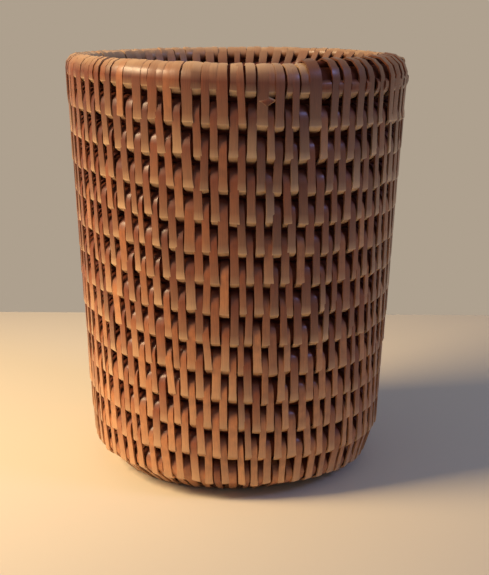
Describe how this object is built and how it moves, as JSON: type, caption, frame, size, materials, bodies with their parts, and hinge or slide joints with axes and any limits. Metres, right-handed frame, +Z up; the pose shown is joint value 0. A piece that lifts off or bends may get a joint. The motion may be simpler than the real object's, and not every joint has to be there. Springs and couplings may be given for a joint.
{
  "type": "wastebasket",
  "caption": "Open round wastebasket of coiled rattan, its flat base, rounded foot and slightly flared wall laid up from cane and bound in a brick pattern with flat strips.",
  "frame": {"origin": "middle of the base, on the floor that the basket stands on", "axes": "+Z up along the basket's axis out of its mouth; -Y is the front, where each turn of the coil climbs from right to left; +X is the right-hand side, where each turn starts and ends"},
  "size_m": [0.2428, 0.2431, 0.3022],
  "materials": {
    "cane": "round rattan cane, peeled and lightly stained, satin",
    "strip": "flat cane bark strip, honey brown, satin varnish, darker in the creases",
    "base_strip": "flat cane bark strip, brown, dull"
  },
  "bodies": {
    "root": {"start_curl": "cane", "base_coil_1": "cane", "base_coil_2": "cane", "base_coil_3": "cane", "foot_coil": "cane", "wall_coil_01": "cane", "wall_coil_02": "cane", "wall_coil_03": "cane", "wall_coil_04": "cane", "wall_coil_05": "cane", "wall_coil_06": "cane", "wall_coil_07": "cane", "wall_coil_08": "cane", "wall_coil_09": "cane", "wall_coil_10": "cane", "wall_coil_11": "cane", "wall_coil_12": "cane", "wall_coil_13": "cane", "rim_cane": "cane", "base_binding_1": "base_strip", "base_binding_2": "base_strip", "foot_binding": "base_strip", "wall_binding_01": "strip", "wall_binding_02": "strip", "wall_binding_03": "strip", "wall_binding_04": "strip", "wall_binding_05": "strip", "wall_binding_06": "strip", "wall_binding_07": "strip", "wall_binding_08": "strip", "wall_binding_09": "strip", "wall_binding_10": "strip", "wall_binding_11": "strip", "wall_binding_12": "strip", "wall_binding_13": "strip", "rim_binding": "strip", "rim_wraps": "strip"}
  },
  "joints": []
}
